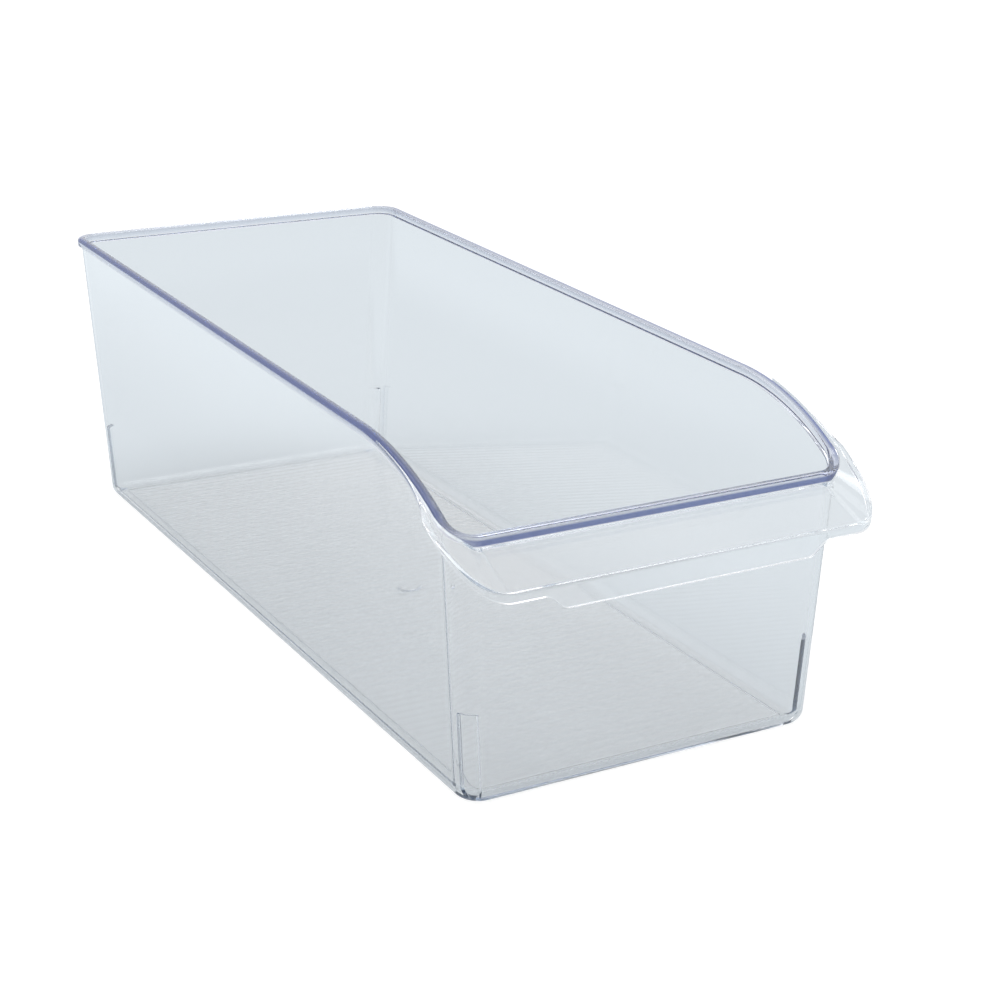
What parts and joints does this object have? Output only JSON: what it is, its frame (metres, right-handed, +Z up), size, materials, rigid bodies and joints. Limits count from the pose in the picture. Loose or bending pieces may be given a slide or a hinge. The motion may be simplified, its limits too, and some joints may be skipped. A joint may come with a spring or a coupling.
{
  "type": "clear fridge bin",
  "caption": "Clear moulded storage bin for a fridge shelf, open on top, with a sloping front, a rolled rim and a ledge at the front to pull it out by.",
  "frame": {"origin": "under the middle of the overall bounding box, on the plane the bin stands on", "axes": "+Z up; the long side runs along Y, with the low front and its pull handle at -Y and the high back at +Y; X is across the width"},
  "size_m": [0.1548, 0.363, 0.1155],
  "materials": {
    "clear_wall": "polished transparent plastic with a faint cool tint, 2 mm thick",
    "clear_floor": "transparent plastic with fine straight ribs across the width, slightly frosted by them",
    "blue_rim": "the same clear plastic in a thick bead, where its tint shows as blue-violet",
    "clear_handle": "polished transparent plastic, brighter where its edges catch the light"
  },
  "bodies": {
    "root": {"floor_panel": "clear_floor", "front_wall": "clear_wall", "back_wall": "clear_wall", "left_side_wall": "clear_wall", "right_side_wall": "clear_wall", "front_left_corner": "clear_wall", "front_right_corner": "clear_wall", "back_left_corner": "clear_wall", "back_right_corner": "clear_wall", "stacking_rib_front_left": "clear_wall", "stacking_rib_front_right": "clear_wall", "stacking_rib_back_left": "clear_wall", "stacking_rib_back_right": "clear_wall", "front_rim": "blue_rim", "back_rim": "blue_rim", "left_rim": "blue_rim", "right_rim": "blue_rim", "handle_ledge": "clear_handle", "handle_lip": "clear_handle", "left_handle_wing": "clear_handle", "right_handle_wing": "clear_handle"}
  },
  "joints": []
}
